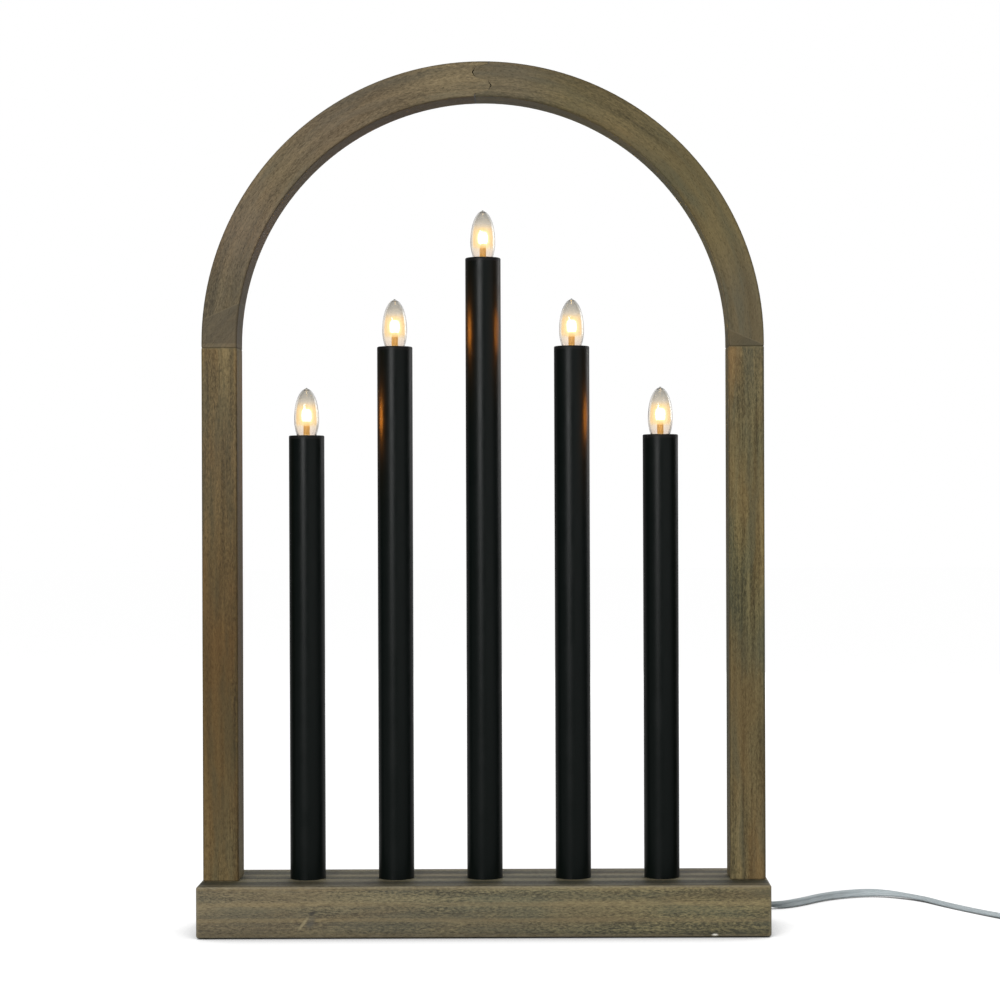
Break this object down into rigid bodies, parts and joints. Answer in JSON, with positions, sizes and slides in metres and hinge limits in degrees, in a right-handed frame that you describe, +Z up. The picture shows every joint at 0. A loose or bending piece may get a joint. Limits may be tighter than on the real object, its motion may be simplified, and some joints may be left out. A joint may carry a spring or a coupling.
{
  "type": "candle arch",
  "caption": "Free-standing wooden arch over a row of straight black electric candles with screw-in flame bulbs and a mains cord.",
  "frame": {"origin": "on the floor under the middle of the base block", "axes": "+Z up, -Y towards the front, +X towards the end beside which the cord leaves"},
  "size_m": [0.613, 0.1929, 0.5372],
  "materials": {
    "base_wood": "grey-brown stain, matt",
    "post_wood": "grey-brown stain, matt",
    "arch_wood": "grey-brown stain, matt",
    "peg_wood": "bare",
    "cover_board": "bare fibreboard",
    "screw_steel": "zinc plated",
    "pad_rubber": "matt",
    "tube_black": "satin black",
    "holder_black": "satin black",
    "holder_brass": "bare",
    "cap_metal": "bare",
    "tip_insulator": "gloss",
    "stem_light": "warm light source on an amber stem",
    "bulb_clear": "clear",
    "wire_insulation": "smooth",
    "clamp_plastic": "smooth",
    "cord_plastic": "pale grey, slightly clear",
    "plug_plastic": "pale grey",
    "pin_metal": "nickel plated"
  },
  "bodies": {
    "stand": {"base_block": "base_wood", "left_post": "post_wood", "right_post": "post_wood", "arch_left": "arch_wood", "arch_right": "arch_wood", "dowels": "peg_wood", "bottom_cover": "cover_board", "cover_screws": "screw_steel", "clamp_screw": "screw_steel", "foot_pads": "pad_rubber", "candle_tube_1": "tube_black", "candle_tube_2": "tube_black", "candle_tube_3": "tube_black", "candle_tube_4": "tube_black", "candle_tube_5": "tube_black", "lamp_holder_1": "holder_black", "lamp_holder_2": "holder_black", "lamp_holder_3": "holder_black", "lamp_holder_4": "holder_black", "lamp_holder_5": "holder_black", "holder_shell_1": "holder_brass", "holder_shell_2": "holder_brass", "holder_shell_3": "holder_brass", "holder_shell_4": "holder_brass", "holder_shell_5": "holder_brass", "holder_contact_1": "holder_brass", "holder_contact_2": "holder_brass", "holder_contact_3": "holder_brass", "holder_contact_4": "holder_brass", "holder_contact_5": "holder_brass", "lamp_wires": "wire_insulation", "cord_clamp": "clamp_plastic", "cord_inlet": "cord_plastic", "cord_lead": "cord_plastic", "cord_coil": "cord_plastic", "plug_body": "plug_plastic", "plug_pins": "pin_metal"},
    "bulb_1_contact": {"bulb_tip_1": "tip_insulator"},
    "bulb_1": {"bulb_cap_1": "cap_metal", "bulb_led_1": "stem_light", "bulb_glass_1": "bulb_clear"},
    "bulb_2_contact": {"bulb_tip_2": "tip_insulator"},
    "bulb_2": {"bulb_cap_2": "cap_metal", "bulb_led_2": "stem_light", "bulb_glass_2": "bulb_clear"},
    "bulb_3_contact": {"bulb_tip_3": "tip_insulator"},
    "bulb_3": {"bulb_cap_3": "cap_metal", "bulb_led_3": "stem_light", "bulb_glass_3": "bulb_clear"},
    "bulb_4_contact": {"bulb_tip_4": "tip_insulator"},
    "bulb_4": {"bulb_cap_4": "cap_metal", "bulb_led_4": "stem_light", "bulb_glass_4": "bulb_clear"},
    "bulb_5_contact": {"bulb_tip_5": "tip_insulator"},
    "bulb_5": {"bulb_cap_5": "cap_metal", "bulb_led_5": "stem_light", "bulb_glass_5": "bulb_clear"}
  },
  "joints": [
    {"name": "bulb_1_lift", "type": "slide", "parent": "stand", "child": "bulb_1_contact", "axis": [0, 0, 1], "range_m": [0, 0.00726]},
    {"name": "bulb_1_turn", "type": "hinge", "parent": "bulb_1_contact", "child": "bulb_1", "pos_m": [-0.11, 0, 0.307], "axis": [0, 0, 1], "range_deg": [0, 1440]},
    {"name": "bulb_2_lift", "type": "slide", "parent": "stand", "child": "bulb_2_contact", "axis": [0, 0, 1], "range_m": [0, 0.00726]},
    {"name": "bulb_2_turn", "type": "hinge", "parent": "bulb_2_contact", "child": "bulb_2", "pos_m": [-0.055, 0, 0.362], "axis": [0, 0, 1], "range_deg": [0, 1440]},
    {"name": "bulb_3_lift", "type": "slide", "parent": "stand", "child": "bulb_3_contact", "axis": [0, 0, 1], "range_m": [0, 0.00726]},
    {"name": "bulb_3_turn", "type": "hinge", "parent": "bulb_3_contact", "child": "bulb_3", "pos_m": [0, 0, 0.417], "axis": [0, 0, 1], "range_deg": [0, 1440]},
    {"name": "bulb_4_lift", "type": "slide", "parent": "stand", "child": "bulb_4_contact", "axis": [0, 0, 1], "range_m": [0, 0.00726]},
    {"name": "bulb_4_turn", "type": "hinge", "parent": "bulb_4_contact", "child": "bulb_4", "pos_m": [0.055, 0, 0.362], "axis": [0, 0, 1], "range_deg": [0, 1440]},
    {"name": "bulb_5_lift", "type": "slide", "parent": "stand", "child": "bulb_5_contact", "axis": [0, 0, 1], "range_m": [0, 0.00726]},
    {"name": "bulb_5_turn", "type": "hinge", "parent": "bulb_5_contact", "child": "bulb_5", "pos_m": [0.11, 0, 0.307], "axis": [0, 0, 1], "range_deg": [0, 1440]}
  ],
  "couplings": [
    {"joint": "bulb_1_lift", "follows": "bulb_1_turn", "m_per_rad": 0.00028871},
    {"joint": "bulb_2_lift", "follows": "bulb_2_turn", "m_per_rad": 0.00028871},
    {"joint": "bulb_3_lift", "follows": "bulb_3_turn", "m_per_rad": 0.00028871},
    {"joint": "bulb_4_lift", "follows": "bulb_4_turn", "m_per_rad": 0.00028871},
    {"joint": "bulb_5_lift", "follows": "bulb_5_turn", "m_per_rad": 0.00028871}
  ]
}
